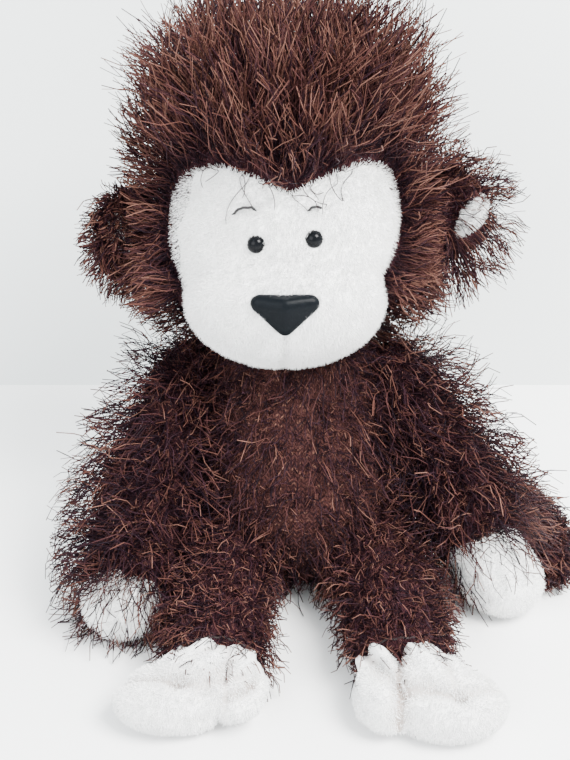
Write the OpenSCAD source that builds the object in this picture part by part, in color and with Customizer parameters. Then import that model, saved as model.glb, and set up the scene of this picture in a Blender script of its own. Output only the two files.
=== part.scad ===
// Stuffed monkey, sitting: a bean-filled plush toy in brown eyelash-yarn knit with white plush face,
// hands, feet and ear linings. Millimetres, +Z up, the face looks along -Y.
// The origin is the middle of the seat panel, on the surface the toy sits on.
// Left and right are the toy's own, so left is +X.

/* [Torso] */
// width of the belly
torso_width = 80; // [74:1:84]
// front-to-back size of the belly
torso_depth = 74; // [70:1:78]
// height of the shoulders' top above the seat
torso_height = 95; // [92:1:97]
// thickness of the knitted cloth with its backing
knit_thickness = 1.6; // [1.2:0.1:2]
// radius of the round panel under the seat
seat_radius = 13; // [10:0.5:13]

/* [Head] */
// width of the head
head_width = 88; // [84:1:90]
// front-to-back size of the head
head_depth = 78; // [74:1:80]
// height of the head from chin to crown
head_height = 100; // [96:1:102]
// how far the head leans to the toy's right of the seat
head_lean = 6; // [4:0.5:8]
// depth of the long yarn pile over the crown
crown_depth = 16; // [12:1:18]

/* [Face] */
// width of the white face panel
face_width = 71; // [66:1:72]
// distance between the eyes' centres
eye_spacing = 18.4; // [16:0.2:20]
// diameter of an eye bead
eye_diameter = 6; // [5:0.25:7]
// how much higher the left eye sits than the right
eye_step = 1.6; // [0:0.2:2]
// width of the moulded nose
nose_width = 22; // [19:0.5:24]
// height of the moulded nose
nose_height = 13.5; // [12:0.5:15]

/* [Ears] */
// height of an ear
ear_height = 32; // [28:1:34]
// how far an ear stands out from the head
ear_reach = 24; // [20:1:26]

/* [Arms] */
// from the shoulder's centre to the hand's centre
arm_length = 83; // [80:1:85]
// radius of the sleeve at the shoulder
arm_radius = 13.5; // [12.5:0.25:13.5]

/* [Legs] */
// radius of the leg at the hip
leg_radius = 15; // [14:0.25:15.5]
// width of the leg at the hip
leg_width = 34; // [31:0.5:36]
// from the hip's centre to the ankle seam
leg_length = 66; // [60:1:68]
// width of a foot
foot_width = 42; // [38:1:44]

/* [Tail] */
// radius of the tail
tail_radius = 7.5; // [6.5:0.25:7.5]

/* [Hidden] */

left = 1;
right = -1;
facets = 22; // sides of a soft form
core_facets = 14; // sides of a hidden filling
toe_facets = 14; // sides of a toe
space_facets = 16; // sides of a space that something moves in
gap = 0.4; // room between pieces that move on each other
slip = 0.15; // room between a skin and its filling
ground = 0.3; // limbs lie this far above the surface

// The torso leans back and a little to the toy's right.
belly = [0, -3, 27];
belly_r = [torso_width / 2, torso_depth / 2, 33];
chest = [-head_lean / 2, 11, torso_height - 23];
chest_r = [torso_width * 0.36, torso_depth * 0.35, 23];
filling_level = 30; // pellets below, fibre above

// The neck's pivot is the middle of the neck wad.
neck = [-head_lean, 14, 90];
neck_wad_r = 11;
turn_limit = 25;
nod_back = -10;
nod_forward = 12;

head = [-head_lean, 15, torso_height + 29];
head_tip = -6; // the face looks slightly upward
cheek_r = [head_width / 2, head_depth / 2, head_height * 0.38];
cheek_z = -head_height * 0.06;
crown_r = [head_width * 0.43, head_depth * 0.43, head_height * 0.38];
crown_z = head_height * 0.18;
muzzle = [0, -26, -19];
muzzle_r = [face_width * 0.47, 17, 20.5];
plush_thickness = 1.6;

face_z = -6; // middle of the face panel in the head's own frame
eye_z = 2;
nose_z = -19;
brow_z = 14;

ear_pivot = [head_width / 2 + 2.6, 2, 1];
ear_hinge_r = 2.6;
ear_step = 3; // the left ear is sewn higher
ear_fold = [-8, 32]; // how far each ear, left then right, is folded back

shoulder_spread = 37;
shoulder_z = 68;
hand_r = [14, 16, 12];
hand_x = [70, -60]; // where the hands rest, left then right
wrist_share = 0.72; // the wrist seam's place along the arm
arm_back = [-5, -5]; // how far each arm swings back, left then right
arm_up = 78;

hip = [24.5, -20, leg_radius + 2];
hip_up = 20;
hip_down = -45;
ankle_r = [15.5, 9, 10.3];
hip_r = [leg_width / 2, leg_radius, leg_radius];
ankle_x = [31, -28]; // left then right
foot_x = [38, -35];
toe_r = [9, 13, 8.5];

// The tail leaves the back and curls round the toy's left side along a half oval.
tail_root = [8, 30, 14];
tail_middle = [8, -6];
tail_oval = [86, 62];
tail_from = 74; // angles along the oval, in degrees
tail_to = -17;
tail_steps = 8;
tail_lie = tail_radius + ground;

seam_thread = 0.9; // thickness of the sewing thread's ridge

function side_index(side) = side == left ? 0 : 1;
function shoulder(side) = [chest[0] + side * shoulder_spread, 10, shoulder_z];
function hand_drop() = shoulder_z - hand_r[2] - ground;
function hand_out(side) = hand_x[side_index(side)] - shoulder(side)[0];
function hand_ahead(side) = sqrt(arm_length * arm_length - hand_out(side) * hand_out(side) - hand_drop() * hand_drop());
function hand_centre(side) = shoulder(side) + [hand_out(side), -hand_ahead(side), -hand_drop()];
function wrist(side) = shoulder(side) + wrist_share * (hand_centre(side) - shoulder(side));
function hip_at(side) = [side * hip[0], hip[1], hip[2]];
function ankle(side) = [ankle_x[side_index(side)], hip[1] - leg_length, ankle_r[2] + ground];
function foot_centre(side) = [foot_x[side_index(side)], hip[1] - leg_length - 10, ankle_r[2] + ground];
function tail_angle(i) = tail_from + (tail_to - tail_from) * i / tail_steps;
function tail_point(i) = [
    tail_middle[0] + tail_oval[0] * cos(tail_angle(i)),
    tail_middle[1] + tail_oval[1] * sin(tail_angle(i)),
    tail_lie
];
function tail_turn(i) = i == 0 ? tail_root : tail_point(i - 1);
function unit(v) = v / norm(v);
function turn_z(v) = atan2(v[1], v[0]);
function tilt(v) = acos(unit(v)[2]);
function squares(x, z, r) = pow(x / r[0], 2) + pow(z / r[2], 2);
function back_at(z) = belly[1] + belly_r[1]
    + (chest[1] + chest_r[1] - belly[1] - belly_r[1]) * (z - belly[2]) / (chest[2] - belly[2]);
function cheek_front(x, z) = -cheek_r[1] * sqrt(1 - squares(x, z - cheek_z, cheek_r));
function muzzle_front(x, z) = muzzle[1] - muzzle_r[1] * sqrt(1 - squares(x, z - muzzle[2], muzzle_r));

// A soft piece is worked out as one mesh.
module soft() {
    resize([0, 0, 0]) children();
}

module egg(centre, r, sides = facets) {
    translate(centre)
        scale(r)
            sphere(r = 1, $fn = sides);
}

module along(from, to) {
    translate(from)
        rotate([0, tilt(to - from), turn_z(to - from)])
            children();
}

module in_head() {
    translate(head)
        rotate([head_tip, 0, 0])
            children();
}

module posed_head(nod, turn) {
    translate(neck)
        rotate([0, 0, turn])
            rotate([nod, 0, 0])
                translate(-neck)
                    in_head()
                        children();
}

// ---- outer forms, each drawn in by the given amount ----

module torso_form(inset, sides = facets) {
    hull() {
        egg(belly, belly_r - [inset, inset, inset], sides);
        egg(chest, chest_r - [inset, inset, inset], sides);
    }
}

module head_form(inset, sides = facets) {
    hull() {
        egg([0, 0, cheek_z], cheek_r - [inset, inset, inset], sides);
        egg([0, 2, crown_z], crown_r - [inset, inset, inset], sides);
    }
    egg(muzzle, muzzle_r - [inset, inset, inset], sides);
}

module sleeve_form(side, inset, sides = facets) {
    hull() {
        egg(shoulder(side), [1, 1, 1] * (arm_radius - inset), sides);
        egg(wrist(side), [1, 1, 1] * (arm_radius - 1 - inset), sides);
    }
}

module hand_form(side, inset, sides = facets) {
    hull() {
        egg(wrist(side) + [0, 0, -2], [1, 1, 1] * (arm_radius - 3 - inset), sides);
        egg(hand_centre(side), hand_r - [inset, inset, inset], sides);
    }
}

module leg_form(side, inset, sides = facets) {
    hull() {
        egg(hip_at(side), hip_r - [inset, inset, inset], sides);
        egg(ankle(side), ankle_r - [inset, inset, inset], sides);
    }
}

module foot_core(side, inset, sides) {
    inset_r = [inset, inset, inset];
    hull() {
        egg(ankle(side) + [0, 2, 0], ankle_r - [1, 1, 1] - inset_r, sides);
        egg(foot_centre(side), [foot_width / 2, 13, ankle_r[2]] - inset_r, sides);
    }
}

module foot_form(side, inset, sides = facets) {
    inset_r = [inset, inset, inset];
    heel = foot_centre(side);
    foot_core(side, inset, sides);
    egg(heel + [side * 5, -6, -1.6], [foot_width * 0.36, 11, ankle_r[2] - 1.6] - inset_r, toe_facets);
    egg(heel + [-side * (foot_width / 2 - 4), 1, -1.5], toe_r - inset_r, toe_facets);
}

module tail_form(inset, sides = 14) {
    for (i = [0 : tail_steps])
        hull() {
            egg(tail_turn(i), [1, 1, 1] * (tail_radius - inset), sides);
            egg(tail_turn(i + 1), [1, 1, 1] * (tail_radius - inset), sides);
        }
}

// ---- the spaces that moving pieces sweep through ----

module neck_space() {
    translate(neck)
        sphere(r = neck_wad_r + gap, $fn = facets);
}

module head_space() {
    for (nod = [nod_back, 0, nod_forward])
        for (turn = [-turn_limit, 0, turn_limit])
            posed_head(nod, turn)
                head_form(-gap - 1.1, space_facets);
}

module arm_swung(side, angle) {
    translate(shoulder(side))
        rotate([-angle, 0, 0])
            translate(-shoulder(side))
                children();
}

module shoulder_space(side) {
    room = [1, 1, 1] * (arm_radius + gap + 0.3);
    hull() {
        egg(shoulder(side), room, facets);
        for (angle = [arm_back[side_index(side)] - 2, 0, 30, 60, arm_up])
            arm_swung(side, angle)
                egg(wrist(side), room, space_facets);
    }
}

module hip_space(side) {
    reach = leg_length + 4;
    hull() {
        egg(hip_at(side), hip_r + [1, 1, 1] * (gap + 0.2));
        for (swing = [hip_down - 2, hip_down / 2, 0, hip_up + 2])
            egg(hip_at(side) + reach * [side * 0.06, -cos(swing), sin(swing)],
                hip_r + [1, 1, 1] * (gap + 0.2), space_facets);
    }
}

module tail_space() {
    hull() {
        egg(tail_root, [1, 1, 1] * (tail_radius + gap));
        egg(tail_turn(1), [1, 1, 1] * (tail_radius + gap));
    }
}

module torso_openings() {
    head_space();
    neck_space();
    for (side = [left, right]) {
        shoulder_space(side);
        hip_space(side);
    }
    tail_space();
    neck_channel();
    translate([-100, -100, -40])
        cube([200, 200, 40]);
}

// ---- torso ----

module torso_skin() {
    color([0.24, 0.13, 0.09])
        soft()
            difference() {
                torso_form(0);
                difference() {
                    torso_form(knit_thickness, core_facets);
                    translate([-100, -100, -40])
                        cube([200, 200, 40 + knit_thickness]);
                }
                torso_openings();
                translate([0, 0, -1])
                    cylinder(r = seat_radius + slip, h = 4, $fn = 48);
            }
}

module seat_panel() {
    color([0.26, 0.15, 0.1])
        cylinder(r = seat_radius, h = knit_thickness, $fn = 48);
}

module torso_core() {
    difference() {
        torso_form(knit_thickness + slip, core_facets);
        torso_openings();
        translate([-100, -100, -1])
            cube([200, 200, 1 + knit_thickness + slip]);
        for (side = [left, right])
            shoulder_space(side);
    }
}

module torso_stuffing() {
    color([0.93, 0.92, 0.88])
        soft()
            intersection() {
                torso_core();
                translate([-100, -100, filling_level + slip])
                    cube([200, 200, 100]);
            }
}

module seat_pellets() {
    color([0.8, 0.82, 0.84])
        soft()
            intersection() {
                torso_core();
                translate([-100, -100, 0])
                    cube([200, 200, filling_level]);
            }
}

module neck_ring(thread_r, sides) {
    translate(neck + [0, 0, -13.4])
        rotate_extrude($fn = sides)
            translate([neck_wad_r + 5, 0])
                circle(r = thread_r, $fn = 16);
}

// The thread lies in a groove that is open to the head's hollow.
module neck_channel() {
    groove = seam_thread + slip + 0.2;
    translate(neck + [0, 0, -13.4])
        rotate_extrude($fn = 24)
            translate([neck_wad_r + 5 - groove, -groove])
                square([2 * groove, 16]);
}

module neck_seam() {
    color([0.16, 0.09, 0.07])
        neck_ring(seam_thread, 48);
}

module back_seam() {
    stitches = 7;
    color([0.16, 0.09, 0.07])
        for (i = [0 : stitches - 1]) {
            level = belly[2] + 2 + i * 4.4;
            translate([0, back_at(level) + 0.5, level])
                rotate([0, 90, 0])
                    cylinder(r = 0.45, h = 5, center = true, $fn = 16);
        }
}

// ---- neck ----

module neck_stuffing() {
    color([0.93, 0.92, 0.88])
        translate(neck)
            sphere(r = neck_wad_r, $fn = facets);
}

// ---- head ----

module face_outline(shrink) {
    lobe = face_width * 0.265;
    offset(delta = -shrink)
        translate([0, face_z]) {
            for (side = [left, right])
                translate([side * (face_width / 2 - lobe), 13])
                    circle(r = lobe, $fn = 40);
            translate([0, -13])
                scale([face_width / 2, 21])
                    circle(r = 1, $fn = 48);
            translate([-face_width / 2 + 2.4, -13])
                square([face_width - 4.8, 27]);
        }
}

module face_prism(shrink) {
    rotate([90, 0, 0])
        linear_extrude(height = 60)
            face_outline(shrink);
}

module eye_spot(side) {
    x = side * eye_spacing / 2;
    z = eye_z + side * eye_step / 2;
    translate([x, cheek_front(x, z), z])
        rotate([90, 0, 0])
            children();
}

module nose_spot() {
    translate([0, muzzle_front(0, nose_z), nose_z])
        rotate([90, 0, 0])
            children();
}

module nose_profile(grow) {
    corner = 2.6 + grow;
    half = nose_width / 2 - 2.6;
    hull() {
        translate([-half, nose_height / 2 - 3.2])
            circle(r = corner, $fn = 24);
        translate([half, nose_height / 2 - 3.2])
            circle(r = corner, $fn = 24);
        translate([0, -nose_height / 2 + 2.6])
            circle(r = corner, $fn = 24);
    }
}

module eye_hole() {
    translate([0, 0, -9])
        cylinder(r = 1.5, h = 12, $fn = 24);
    translate([0, 0, -1])
        cylinder(r = eye_diameter / 2 + slip, h = 6, $fn = 24);
}

module washer_space(r) {
    translate([0, 0, -6.4])
        cylinder(r = r, h = 3.3, $fn = 24);
}

module nose_hole() {
    translate([0, 0, -9])
        cylinder(r = 2.2, h = 12, $fn = 24);
    translate([0, 0, -1])
        linear_extrude(height = 12)
            nose_profile(slip);
}

module trim_holes() {
    for (side = [left, right])
        eye_spot(side) {
            eye_hole();
            washer_space(5);
        }
    nose_spot() {
        nose_hole();
        washer_space(6.5);
    }
}

module ear_hinge_space() {
    for (side = [left, right])
        translate([side * ear_pivot[0], ear_pivot[1], ear_pivot[2] + side * ear_step])
            cylinder(r = ear_hinge_r + gap, h = ear_height, center = true, $fn = 24);
}

module head_shell() {
    difference() {
        head_form(0);
        head_form(plush_thickness, core_facets);
    }
}

module head_skin() {
    color([0.24, 0.13, 0.09])
        soft()
            difference() {
                in_head()
                    difference() {
                        head_shell();
                        face_prism(0);
                        ear_hinge_space();
                    }
                neck_space();
            }
}

module face_panel() {
    color([0.96, 0.96, 0.95])
        soft()
            in_head()
                difference() {
                    intersection() {
                        head_shell();
                        face_prism(slip);
                    }
                    trim_holes();
                }
}

module head_stuffing() {
    color([0.93, 0.92, 0.88])
        soft()
            difference() {
                in_head()
                    difference() {
                        head_form(plush_thickness + slip + 0.1, core_facets);
                        trim_holes();
                        ear_hinge_space();
                    }
                neck_space();
            }
}

// The long ends of the yarn stand up over the crown.
module crown_pile() {
    color([0.3, 0.16, 0.1])
        soft()
            in_head()
                difference() {
                    egg([0, 7, crown_z + 4], crown_r + [7, 6, crown_depth - 4]);
                    head_form(-0.3);
                    translate([-100, -100, -90 + crown_z])
                        cube([200, 200, 90]);
                    face_prism(-1);
                }
}

module muzzle_seam() {
    color([0.85, 0.84, 0.83])
        soft()
            in_head()
                for (i = [0 : 3]) {
                    z = nose_z - nose_height / 2 - 1.5 - i * 2.4;
                    translate([0, muzzle_front(0, z) - 0.75, z])
                        cylinder(r = 0.4, h = 1.7, center = true, $fn = 10);
                }
}

module eye(side) {
    color([0.02, 0.02, 0.02])
        in_head()
            eye_spot(side) {
                intersection() {
                    translate([0, 0, -0.6])
                        sphere(r = eye_diameter / 2, $fn = 40);
                    translate([0, 0, 1.4])
                        cube([eye_diameter, eye_diameter, 4.4], center = true);
                }
                translate([0, 0, -8])
                    cylinder(r = 1.2, h = 8, $fn = 24);
            }
}

module washer(r, bore) {
    translate([0, 0, -5.6])
        difference() {
            cylinder(r = r, h = 1.4, $fn = 32);
            translate([0, 0, -1])
                cylinder(r = bore, h = 4, $fn = 24);
        }
}

module eye_washer(side) {
    color([0.85, 0.85, 0.82])
        in_head()
            eye_spot(side)
                washer(4.6, 1.3);
}

module nose() {
    color([0.03, 0.03, 0.03])
        in_head()
            nose_spot() {
                hull() {
                    linear_extrude(height = 2)
                        nose_profile(0);
                    translate([0, 1, 2])
                        linear_extrude(height = 2.6)
                            scale([0.62, 0.55])
                                nose_profile(0);
                }
                translate([0, 0, -8])
                    cylinder(r = 1.8, h = 8.5, $fn = 24);
            }
}

module nose_washer() {
    color([0.85, 0.85, 0.82])
        in_head()
            nose_spot()
                washer(6, 1.95);
}

module brow(side, from_x, to_x) {
    steps = 4;
    color([0.04, 0.035, 0.035])
        soft()
            in_head()
                for (i = [0 : steps - 1])
                    hull()
                        for (k = [i, i + 1]) {
                            share = k / steps;
                            x = side * (from_x + (to_x - from_x) * share);
                            z = brow_z + 1.6 * sin(180 * share);
                            egg([x, cheek_front(x, z) - 2.25, z], [0.45, 0.35, 0.45], 8);
                        }
}

module at_ear(side) {
    in_head()
        translate([side * ear_pivot[0], ear_pivot[1], ear_pivot[2] + side * ear_step])
            rotate([0, 0, side * ear_fold[side_index(side)]])
                children();
}

module ear_form(side, thick, inset) {
    hull() {
        cylinder(r = ear_hinge_r - inset, h = ear_height * 0.5, center = true, $fn = 16);
        translate([side * (ear_reach * 0.48), 0, 0])
            scale([ear_reach * 0.46 - inset, thick, ear_height / 2 - inset])
                sphere(r = 1, $fn = 20);
    }
}

module ear_back(side) {
    color([0.24, 0.13, 0.09])
        soft()
            at_ear(side)
                difference() {
                    ear_form(side, 3.6, 0);
                    translate([side * (ear_reach * 0.5), -3.7, 0])
                        scale([ear_reach * 0.4, 3.4, ear_height * 0.42])
                            sphere(r = 1, $fn = 18);
                }
}

module ear_lining(side) {
    color([0.96, 0.96, 0.95])
        soft()
            at_ear(side)
                intersection() {
                    translate([side * (ear_reach * 0.5), -3.7, 0])
                        scale([ear_reach * 0.4 - slip, 3.4 - slip, ear_height * 0.42 - slip])
                            sphere(r = 1, $fn = 18);
                    translate([0, -0.9, 0])
                        ear_form(side, 3.6, 0.4);
                }
}

// ---- arms ----

module wrist_cut(side, from, height) {
    along(wrist(side), hand_centre(side))
        translate([0, 0, from])
            cylinder(r = 40, h = height, $fn = 24);
}

module sleeve(side) {
    color([0.24, 0.13, 0.09])
        soft()
            difference() {
                sleeve_form(side, 0);
                sleeve_form(side, knit_thickness, core_facets);
                wrist_cut(side, 0, 60);
            }
}

module arm_stuffing(side) {
    color([0.93, 0.92, 0.88])
        soft()
            difference() {
                sleeve_form(side, knit_thickness + slip, core_facets);
                wrist_cut(side, -slip, 60);
            }
}

module hand(side) {
    color([0.96, 0.96, 0.95])
        soft()
            difference() {
                hand_form(side, 0);
                hand_form(side, plush_thickness, core_facets);
                wrist_cut(side, -60 + slip, 60);
            }
}

module hand_pellets(side) {
    color([0.8, 0.82, 0.84])
        soft()
            difference() {
                hand_form(side, plush_thickness + slip, core_facets);
                wrist_cut(side, -60 + 2 * slip, 60);
            }
}

module wrist_seam(side) {
    color([0.9, 0.89, 0.87])
        along(wrist(side), hand_centre(side))
            rotate_extrude($fn = 48)
                translate([arm_radius - 1 + seam_thread * 0.62, 0])
                    circle(r = seam_thread * 0.5, $fn = 16);
}

// ---- legs ----

module ankle_cut(side, from, depth) {
    translate([-100, ankle(side)[1] - from - depth, -50])
        cube([200, depth, 100]);
}

module leg(side) {
    color([0.24, 0.13, 0.09])
        soft()
            difference() {
                leg_form(side, 0);
                leg_form(side, knit_thickness, core_facets);
                ankle_cut(side, 0, 60);
            }
}

module leg_stuffing(side) {
    color([0.93, 0.92, 0.88])
        soft()
            difference() {
                leg_form(side, knit_thickness + slip, core_facets);
                ankle_cut(side, -slip, 60);
            }
}

module foot(side) {
    color([0.96, 0.96, 0.95])
        soft()
            difference() {
                foot_form(side, 0);
                foot_core(side, plush_thickness, core_facets);
                ankle_cut(side, -60 + slip, 60);
            }
}

module foot_pellets(side) {
    color([0.8, 0.82, 0.84])
        soft()
            difference() {
                foot_core(side, plush_thickness + slip, core_facets);
                ankle_cut(side, -60 + 2 * slip, 60);
            }
}

module ankle_seam(side) {
    room = [0.35, 0.35];
    rim = [ankle_r[0], ankle_r[2]] + room;
    color([0.9, 0.89, 0.87])
        soft()
            difference() {
                translate(ankle(side) + [0, 0.3 + seam_thread, 0.15])
                    rotate([90, 0, 0])
                        linear_extrude(height = seam_thread)
                            difference() {
                                scale(rim + [seam_thread, seam_thread] * 0.8)
                                    circle(r = 1, $fn = 24);
                                scale(rim)
                                    circle(r = 1, $fn = 24);
                            }
                translate([-100, -200, -20])
                    cube([200, 300, 20 + ground + 1]);
            }
}

// ---- tail ----

module tail_skin() {
    color([0.24, 0.13, 0.09])
        soft()
            difference() {
                tail_form(0);
                tail_form(knit_thickness, 10);
                along(tail_turn(1), tail_root)
                    translate([0, 0, norm(tail_turn(1) - tail_root) + tail_radius * 0.7])
                        cylinder(r = 20, h = 20, $fn = 24);
            }
}

module tail_stuffing() {
    color([0.93, 0.92, 0.88])
        soft()
            tail_form(knit_thickness + slip, 10);
}

torso_skin();
seat_panel();
torso_stuffing();
seat_pellets();
neck_seam();
back_seam();
neck_stuffing();
head_skin();
head_stuffing();
crown_pile();
face_panel();
muzzle_seam();
eye(left);  // eye_left
eye(right);  // eye_right
eye_washer(left);  // eye_washer_left
eye_washer(right);  // eye_washer_right
nose();
nose_washer();
brow(left, 6.5, 12);  // brow_left
brow(right, 8, 16);  // brow_right
ear_back(left);  // ear_back_left
ear_lining(left);  // ear_lining_left
ear_back(right);  // ear_back_right
ear_lining(right);  // ear_lining_right
sleeve(left);  // sleeve_left
arm_stuffing(left);  // arm_stuffing_left
hand(left);  // hand_left
hand_pellets(left);  // hand_pellets_left
wrist_seam(left);  // wrist_seam_left
sleeve(right);  // sleeve_right
arm_stuffing(right);  // arm_stuffing_right
hand(right);  // hand_right
hand_pellets(right);  // hand_pellets_right
wrist_seam(right);  // wrist_seam_right
leg(left);  // leg_left
leg_stuffing(left);  // leg_stuffing_left
foot(left);  // foot_left
foot_pellets(left);  // foot_pellets_left
ankle_seam(left);  // ankle_seam_left
leg(right);  // leg_right
leg_stuffing(right);  // leg_stuffing_right
foot(right);  // foot_right
foot_pellets(right);  // foot_pellets_right
ankle_seam(right);  // ankle_seam_right
tail_skin();
tail_stuffing();
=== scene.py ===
"""Stuffed toy monkey: brown knitted eyelash yarn with a white plush face, hands, feet and ear linings."""
import math

import bmesh
import bpy
import numpy as np
from mathutils import Matrix, Vector
from mathutils.bvhtree import BVHTree
from mathutils.kdtree import KDTree


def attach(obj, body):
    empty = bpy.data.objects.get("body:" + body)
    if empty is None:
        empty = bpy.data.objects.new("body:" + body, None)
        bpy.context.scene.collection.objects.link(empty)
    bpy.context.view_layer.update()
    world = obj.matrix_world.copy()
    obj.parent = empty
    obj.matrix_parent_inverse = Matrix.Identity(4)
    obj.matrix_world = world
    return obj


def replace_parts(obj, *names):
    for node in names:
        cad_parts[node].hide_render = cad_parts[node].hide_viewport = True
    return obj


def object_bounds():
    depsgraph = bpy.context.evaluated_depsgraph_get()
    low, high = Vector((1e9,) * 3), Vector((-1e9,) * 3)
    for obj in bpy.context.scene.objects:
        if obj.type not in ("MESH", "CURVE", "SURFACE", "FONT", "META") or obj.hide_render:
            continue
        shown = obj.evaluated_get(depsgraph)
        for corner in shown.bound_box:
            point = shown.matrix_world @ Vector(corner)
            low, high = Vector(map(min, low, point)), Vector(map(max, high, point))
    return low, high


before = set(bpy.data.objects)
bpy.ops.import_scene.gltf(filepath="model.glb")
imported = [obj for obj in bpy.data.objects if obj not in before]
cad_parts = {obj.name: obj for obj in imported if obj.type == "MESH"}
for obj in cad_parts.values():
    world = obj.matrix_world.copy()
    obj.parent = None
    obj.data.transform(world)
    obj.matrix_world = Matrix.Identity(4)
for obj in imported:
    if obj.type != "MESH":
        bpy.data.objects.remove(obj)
cad_low, cad_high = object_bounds()

# ---- camera, table, wall and light ----
# The toy sits on a white table in front of a pale wall, seen from in front and above.
# A large soft light stands high on the right, a weaker one on the left, and the room fills in the rest.
camera_tilt = 25
camera_data = bpy.data.cameras.new("camera")
camera_data.sensor_width = 36
camera_data.lens = 47.37
camera = bpy.data.objects.new("camera", camera_data)
camera.location = (-0.006, -0.3289, 0.2246)
camera.rotation_euler = (math.radians(90 - camera_tilt), 0, 0)
bpy.context.scene.collection.objects.link(camera)
bpy.context.scene.camera = camera

wall_y = 0.1466


def new_object(name, mesh):
    made = bpy.data.objects.new(name, mesh)
    bpy.context.scene.collection.objects.link(made)
    return made


def new_finish(name, values):
    """A material, its nodes and its shader, with plain values on the shader's own sockets."""
    material = bpy.data.materials.new(name)
    material.use_nodes = True
    shader = material.node_tree.nodes["Principled BSDF"]
    for socket, value in values.items():
        shader.inputs[socket].default_value = value
    return material, material.node_tree, shader


def node(tree, kind, inputs=None, **settings):
    """One shader node. Each input is a value, or a socket that is joined to it."""
    made = tree.nodes.new("ShaderNode" + kind)
    for setting, value in settings.items():
        setattr(made, setting, value)
    for socket, value in (inputs or {}).items():
        if isinstance(value, bpy.types.NodeSocket):
            tree.links.new(value, made.inputs[socket])
        else:
            made.inputs[socket].default_value = value
    return made


def flat_sheet(name, corners, colour, one_sided=False):
    """A plain painted sheet. One that is one-sided can be looked through from behind."""
    mesh = bpy.data.meshes.new(name)
    mesh.from_pydata(corners, [], [range(len(corners))])
    material, tree, shader = new_finish(name, {"Base Color": (*colour, 1), "Roughness": 0.8})
    if one_sided:
        behind = node(tree, "NewGeometry").outputs["Backfacing"]
        clear = node(tree, "BsdfTransparent").outputs[0]
        mix = node(tree, "MixShader", {0: behind, 1: shader.outputs[0], 2: clear})
        tree.links.new(mix.outputs[0], tree.nodes["Material Output"].inputs["Surface"])
    mesh.materials.append(material)
    new_object(name, mesh)


far = 3
flat_sheet("table", [(-far, -far, 0), (far, -far, 0), (far, far, 0), (-far, far, 0)], (0.93, 0.93, 0.93))
flat_sheet("wall", [(-far, wall_y, 0), (far, wall_y, 0), (far, wall_y, far), (-far, wall_y, far)],
           (0.7, 0.73, 0.73), one_sided=True)


def soft_light(name, place, size, power, colour):
    """A square area light that looks at the toy."""
    data = bpy.data.lights.new(name, "AREA")
    data.size = size
    data.energy = power
    data.color = colour
    lamp = bpy.data.objects.new(name, data)
    lamp.location = place
    lamp.rotation_euler = (Vector((0, -0.02, 0.08)) - Vector(place)).to_track_quat("-Z", "Y").to_euler()
    bpy.context.scene.collection.objects.link(lamp)


soft_light("window", (0.45, -0.35, 0.75), 0.45, 38, (1, 0.99, 0.97))
soft_light("fill", (-0.5, -0.6, 0.45), 0.6, 9, (0.96, 0.98, 1))

world = bpy.data.worlds.new("room")
world.use_nodes = True
world.node_tree.nodes["Background"].inputs["Color"].default_value = (0.86, 0.9, 0.92, 1)
world.node_tree.nodes["Background"].inputs["Strength"].default_value = 2.3
bpy.context.scene.world = world

# ---- torso ----
# A bag of stockinette knit, closed round a fat lower egg and a narrower chest, flat where it sits.
# Each skin starts as egg forms, is merged into one sheet, and is blown up a little from inside.
MM = 0.001
belly = ((0, -3, 27), (40, 37, 32.5))
chest = ((-3, 11, 72), (29.5, 26, 23))


def mm(*place):
    """A place given in millimetres, in metres."""
    return np.array(place) * MM


def egg(centre, radii, rings=11, sides=24):
    """Points of an ellipsoid, given in millimetres."""
    up = np.linspace(-1, 1, rings) * math.pi / 2
    around = np.arange(sides) * 2 * math.pi / sides
    ring, turn = np.meshgrid(up, around, indexing="ij")
    ball = np.stack([np.cos(ring) * np.cos(turn), np.cos(ring) * np.sin(turn), np.sin(ring)], -1)
    return (ball.reshape(-1, 3) * radii + centre) * MM


def from_bmesh(name, bm):
    mesh = bpy.data.meshes.new(name)
    bm.to_mesh(mesh)
    bm.free()
    return new_object(name, mesh)


def bake_modifiers(obj):
    """The object's modifiers become its mesh."""
    bpy.context.view_layer.update()
    shaped = bpy.data.meshes.new_from_object(obj.evaluated_get(bpy.context.evaluated_depsgraph_get()))
    obj.modifiers.clear()
    obj.data = shaped


def merge(skin, voxel, passes):
    """Everything in the mesh becomes one closed sheet, smoothed in passes."""
    whole = skin.modifiers.new("merge", "REMESH")
    whole.mode = "VOXEL"
    whole.voxel_size = voxel
    whole.use_smooth_shade = True
    smooth = skin.modifiers.new("smooth", "SMOOTH")
    smooth.factor = 0.5
    smooth.iterations = passes
    bake_modifiers(skin)


def refine(skin):
    """One round of subdivision, so that folds and edges are smooth."""
    fine = skin.modifiers.new("fine", "SUBSURF")
    fine.levels = 1
    bake_modifiers(skin)
    skin.data.shade_smooth()


def closed_skin(name, hulls, voxel, passes, place=None, lowest=0.0002):
    """One closed sheet round hulls of egg forms, merged at the voxel size, then smoothed."""
    bm = bmesh.new()
    for eggs in hulls:
        corners = [bm.verts.new(p) for form in eggs for p in egg(*form)]
        made = bmesh.ops.convex_hull(bm, input=corners)
        spare = made["geom_interior"] + made["geom_unused"]
        spare = {g for g in spare if isinstance(g, bmesh.types.BMVert)}
        bmesh.ops.delete(bm, geom=list(spare), context="VERTS")
    skin = from_bmesh(name, bm)
    if place is not None:
        skin.data.transform(place)
    merge(skin, voxel, passes)
    keep_above(skin, lowest)
    return skin


def values_of(items, attribute, width=1, kind=np.int32):
    """One attribute of all the items as an array."""
    values = np.empty(len(items) * width, kind)
    items.foreach_get(attribute, values)
    return values.reshape(-1, width) if width > 1 else values


def coordinates(mesh):
    return values_of(mesh.vertices, "co", 3, np.float32).astype(float)


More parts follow.
